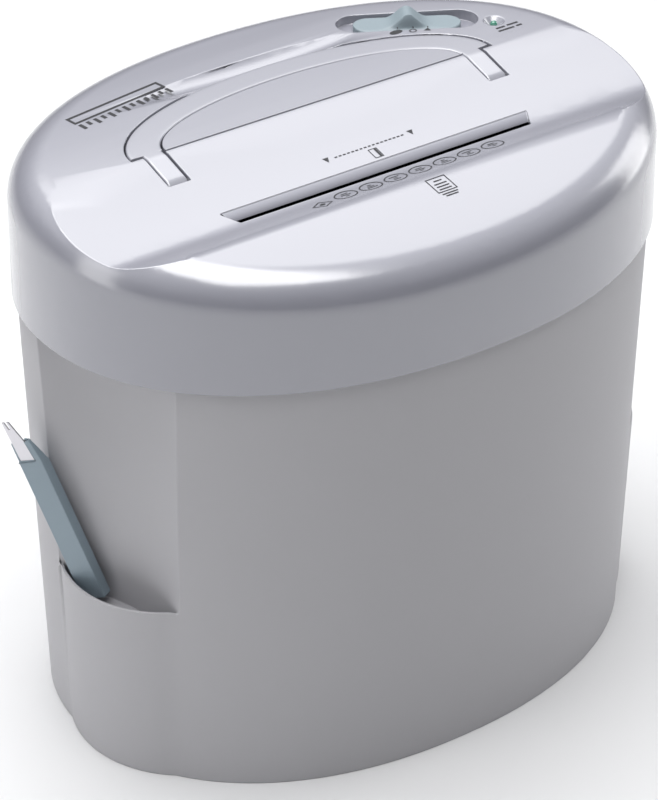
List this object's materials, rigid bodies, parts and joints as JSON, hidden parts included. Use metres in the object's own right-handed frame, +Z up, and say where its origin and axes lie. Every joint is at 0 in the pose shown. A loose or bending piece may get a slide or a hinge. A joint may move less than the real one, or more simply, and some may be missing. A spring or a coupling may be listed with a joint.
{
  "type": "paper shredder",
  "caption": "Oval wastebasket paper shredder: lift-off cutting head with a fold-flat carry handle and mode slider, on a tapered bin with a pocket at each end and a staple remover.",
  "frame": {"origin": "middle of the bin's flat base, on the surface it stands on", "axes": "+X along the oval's length to the right, +Z up, -Y towards the user at the front"},
  "size_m": [0.4673, 0.326, 0.4088],
  "materials": {
    "bin_plastic": "fine satin moulded polypropylene, cool mid grey",
    "head_plastic": "pearl silver with a soft gloss",
    "handle_plastic": "pearl silver with a soft gloss",
    "black_plastic": "dull black",
    "slider_plastic": "satin blue grey",
    "grip_plastic": "satin blue grey",
    "blade_steel": "stamped, brushed along its length",
    "cutter_steel": "oiled ground steel",
    "frame_steel": "zinc plated sheet",
    "bronze": "sintered bronze",
    "gear_nylon": "natural nylon",
    "circuit_board": "green board",
    "lamp_lens": "tinted green lens",
    "rubber": "dull black"
  },
  "bodies": {
    "bin": {"waste_bin": "bin_plastic"},
    "staple_remover": {"staple_remover_grip": "grip_plastic", "staple_remover_blade": "blade_steel"},
    "head": {"head_cover": "head_plastic", "head_base": "black_plastic", "cover_screws": "cutter_steel", "handle_pins": "cutter_steel", "mode_switch": "black_plastic", "led_lens": "lamp_lens", "led_board": "circuit_board", "cord_grommet": "rubber", "paper_guide": "black_plastic", "lever_pin": "cutter_steel", "feed_switch": "black_plastic", "side_frame_left": "frame_steel", "side_frame_right": "frame_steel", "frame_screws": "cutter_steel", "tie_rods": "cutter_steel", "tie_rod_screws": "cutter_steel", "shaft_bushes": "bronze", "stripper_comb_front": "black_plastic", "stripper_comb_rear": "black_plastic", "gear_axles": "cutter_steel", "gear_case": "black_plastic", "motor_can": "frame_steel", "motor_end_cap": "black_plastic", "motor_screws": "cutter_steel", "thermal_cutout": "black_plastic", "control_board": "circuit_board", "board_standoffs": "gear_nylon", "board_screws": "cutter_steel", "relay": "black_plastic", "capacitor": "gear_nylon", "fuse_holder": "black_plastic", "terminal_block": "slider_plastic"},
    "carry_handle": {"carry_handle": "handle_plastic"},
    "mode_slider": {"mode_slider": "slider_plastic"},
    "feed_lever": {"feed_lever": "black_plastic"},
    "front_cutter": {"cutter_shaft_front": "cutter_steel", "cutter_discs_front": "cutter_steel", "spacer_rings_front": "gear_nylon", "sync_gear_front": "frame_steel"},
    "rear_cutter": {"cutter_shaft_rear": "cutter_steel", "cutter_discs_rear": "cutter_steel", "spacer_rings_rear": "gear_nylon", "sync_gear_rear": "frame_steel", "drive_gear": "frame_steel"},
    "gear_2": {"reduction_gear_2": "gear_nylon"},
    "gear_1": {"reduction_gear_1": "gear_nylon"},
    "rotor": {"motor_shaft": "cutter_steel", "motor_pinion": "cutter_steel", "motor_armature": "frame_steel"}
  },
  "joints": [
    {"name": "head_lift", "type": "slide", "parent": "bin", "child": "head", "axis": [0, 0, 1], "range_m": [0, 0.15]},
    {"name": "staple_remover_slide", "type": "slide", "parent": "bin", "child": "staple_remover", "axis": [-0.2172, 0.3093, 0.9258], "range_m": [0, 0.12]},
    {"name": "handle_swing", "type": "hinge", "parent": "head", "child": "carry_handle", "pos_m": [0, -0.0015, 0.391], "axis": [1, 0, 0], "range_deg": [0, 90]},
    {"name": "mode_slide", "type": "slide", "parent": "head", "child": "mode_slider", "axis": [0.8746, -0.4848, 0], "range_m": [-0.0105, 0.0105]},
    {"name": "feed_lever_swing", "type": "hinge", "parent": "head", "child": "feed_lever", "pos_m": [0, -0.035, 0.373], "axis": [1, 0, 0], "range_deg": [0, 20], "stiffness_Nm_per_rad": 0.002, "springref_deg": -8.59},
    {"name": "rotor_spin", "type": "hinge", "parent": "head", "child": "rotor", "pos_m": [0, 0.05927, 0.35536], "axis": [1, 0, 0], "continuous": true},
    {"name": "gear_1_spin", "type": "hinge", "parent": "head", "child": "gear_1", "pos_m": [0, 0.02938, 0.35275], "axis": [1, 0, 0], "continuous": true},
    {"name": "gear_2_spin", "type": "hinge", "parent": "head", "child": "gear_2", "pos_m": [0, -0.00312, 0.35275], "axis": [1, 0, 0], "continuous": true},
    {"name": "rear_cutter_spin", "type": "hinge", "parent": "head", "child": "rear_cutter", "pos_m": [0, -0.0345, 0.35], "axis": [1, 0, 0], "continuous": true},
    {"name": "front_cutter_spin", "type": "hinge", "parent": "head", "child": "front_cutter", "pos_m": [0, -0.0675, 0.35], "axis": [1, 0, 0], "continuous": true}
  ],
  "couplings": [
    {"joint": "front_cutter_spin", "follows": "rear_cutter_spin", "ratio": -1},
    {"joint": "gear_2_spin", "follows": "rear_cutter_spin", "ratio": -2.5},
    {"joint": "gear_1_spin", "follows": "rear_cutter_spin", "ratio": 8.3333},
    {"joint": "rotor_spin", "follows": "rear_cutter_spin", "ratio": -33.333}
  ]
}
